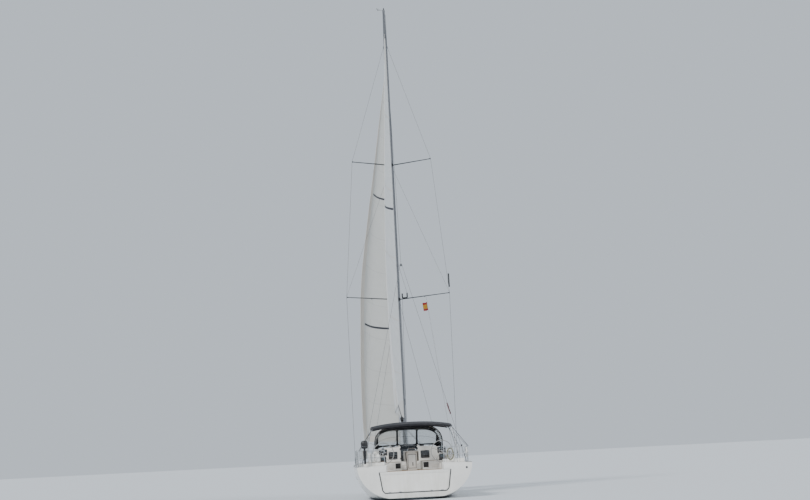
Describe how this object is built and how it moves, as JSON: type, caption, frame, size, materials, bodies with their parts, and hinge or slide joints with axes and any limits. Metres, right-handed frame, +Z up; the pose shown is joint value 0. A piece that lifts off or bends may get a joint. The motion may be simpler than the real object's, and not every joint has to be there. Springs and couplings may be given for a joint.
{
  "type": "sailing yacht",
  "caption": "Cruising sailing yacht with twin helms, fin keel, fractional rig, both sails set, bimini and sprayhood, floating upright at its waterline.",
  "frame": {"origin": "on the centreline at the waterline plane, amidships (7.6 m forward of the transom)", "axes": "+Y towards the bow, +X to starboard, +Z up, along the mast"},
  "size_m": [4.7542, 15.9826, 24.5028],
  "materials": {
    "gelcoat": "gloss gelcoat on glass fibre, lightly weathered",
    "antifoul": "matt bottom paint",
    "teak": "bare teak, scrubbed",
    "aluminium": "anodised",
    "steel": "polished stainless steel",
    "sailcloth": "woven polyester, crisp",
    "canvas": "coated acrylic canvas",
    "black_plastic": "moulded, satin",
    "white_plastic": "coated foam and moulded plastic",
    "smoked": "smoked acrylic, polished",
    "iron": "painted casting",
    "bronze": "cast, dull",
    "flag_red": "woven bunting",
    "flag_yellow": "woven bunting"
  },
  "bodies": {
    "yacht": {"hull": "gelcoat", "deck": "gelcoat", "anchor_locker": "gelcoat", "cockpit": "gelcoat", "coachroof": "gelcoat", "cabin_sole": "teak", "engine": "iron", "keel_fin": "antifoul", "keel_bulb": "iron", "saildrive_leg": "antifoul", "mast": "aluminium", "upper_spreaders": "aluminium", "lower_spreaders": "aluminium", "shroud_port": "steel", "shroud_starboard": "steel", "forestay_furler": "aluminium", "backstay": "steel", "genoa": "sailcloth", "masthead_unit": "black_plastic", "radar_reflector": "black_plastic", "flag_halyard": "sailcloth", "courtesy_flag": "flag_yellow", "ensign": "flag_red", "bimini_canopy": "canvas", "bimini_frame": "steel", "sprayhood": "canvas", "pushpit_port": "steel", "pushpit_starboard": "steel", "pulpit": "steel", "lifelines_port": "steel", "lifelines_starboard": "steel", "helm_pedestal_port": "gelcoat", "helm_pedestal_starboard": "gelcoat", "helm_seat_port": "teak", "helm_seat_starboard": "teak", "cockpit_table": "gelcoat", "winch_port": "steel", "winch_starboard": "steel", "outboard_bracket": "teak", "outboard_motor": "black_plastic", "lifebuoy": "white_plastic", "coiled_line": "sailcloth", "stemhead_fitting": "steel", "anchor": "steel"},
    "rudder": {"rudder": "antifoul"},
    "wheel_port": {"steering_wheel_port": "steel"},
    "wheel_starboard": {"steering_wheel_starboard": "steel"},
    "propeller": {"propeller": "bronze"},
    "boom_and_mainsail": {"boom": "aluminium", "kicker": "aluminium", "mainsail": "sailcloth"},
    "transom_door": {"swim_platform": "gelcoat"},
    "sliding_hatch": {"companionway_hatch": "smoked"},
    "door_port": {"companionway_door_port": "smoked"},
    "door_starboard": {"companionway_door_starboard": "smoked"},
    "leaf_port": {"table_leaf_port": "teak"},
    "leaf_starboard": {"table_leaf_starboard": "teak"},
    "saloon_hatch_lid": {"saloon_hatch": "smoked"},
    "fore_hatch_lid": {"fore_hatch": "smoked"},
    "locker_lid": {"anchor_locker_lid": "gelcoat"}
  },
  "joints": [
    {"name": "rudder_stock", "type": "hinge", "parent": "yacht", "child": "rudder", "pos_m": [0, -6.45, -0.5], "axis": [0, 0, 1], "range_deg": [-35, 35]},
    {"name": "wheel_port_shaft", "type": "hinge", "parent": "yacht", "child": "wheel_port", "pos_m": [-1.19, -6.12, 1.87], "axis": [0, 1, 0], "range_deg": [-280, 280]},
    {"name": "wheel_starboard_shaft", "type": "hinge", "parent": "yacht", "child": "wheel_starboard", "pos_m": [1.19, -6.12, 1.87], "axis": [0, 1, 0], "range_deg": [-280, 280]},
    {"name": "propeller_shaft", "type": "hinge", "parent": "yacht", "child": "propeller", "pos_m": [0, -3.56, -0.9], "axis": [0, 1, 0], "continuous": true},
    {"name": "gooseneck", "type": "hinge", "parent": "yacht", "child": "boom_and_mainsail", "pos_m": [0, 0.735, 3.06], "axis": [0, 0, 1], "range_deg": [-60, 70]},
    {"name": "transom_door_hinge", "type": "hinge", "parent": "yacht", "child": "transom_door", "pos_m": [0, -7.6016, 0.327], "axis": [1, 0, 0], "range_deg": [0, 90]},
    {"name": "sliding_hatch_runner", "type": "slide", "parent": "yacht", "child": "sliding_hatch", "axis": [0, 1, 0], "range_m": [0, 0.64]},
    {"name": "door_port_hinge", "type": "hinge", "parent": "yacht", "child": "door_port", "pos_m": [-0.375, -2.6093, 1.8], "axis": [0, 0, -1], "range_deg": [0, 165]},
    {"name": "door_starboard_hinge", "type": "hinge", "parent": "yacht", "child": "door_starboard", "pos_m": [0.375, -2.6093, 1.8], "axis": [0, 0, 1], "range_deg": [0, 165]},
    {"name": "leaf_port_hinge", "type": "hinge", "parent": "yacht", "child": "leaf_port", "pos_m": [-0.279, -4.625, 1.924], "axis": [0, 1, 0], "range_deg": [0, 90]},
    {"name": "leaf_starboard_hinge", "type": "hinge", "parent": "yacht", "child": "leaf_starboard", "pos_m": [0.279, -4.625, 1.924], "axis": [0, -1, 0], "range_deg": [0, 90]},
    {"name": "saloon_hatch_hinge", "type": "hinge", "parent": "yacht", "child": "saloon_hatch_lid", "pos_m": [0, 2.67, 2.081], "axis": [-1, 0, 0], "range_deg": [0, 85]},
    {"name": "fore_hatch_hinge", "type": "hinge", "parent": "yacht", "child": "fore_hatch_lid", "pos_m": [0, 5.67, 1.69], "axis": [-1, 0, 0], "range_deg": [0, 85]},
    {"name": "locker_lid_hinge", "type": "hinge", "parent": "yacht", "child": "locker_lid", "pos_m": [0, 6.79, 1.74], "axis": [-1, 0, 0], "range_deg": [0, 85]}
  ],
  "couplings": [
    {"joint": "wheel_port_shaft", "follows": "rudder_stock", "ratio": 8},
    {"joint": "wheel_starboard_shaft", "follows": "rudder_stock", "ratio": 8}
  ]
}
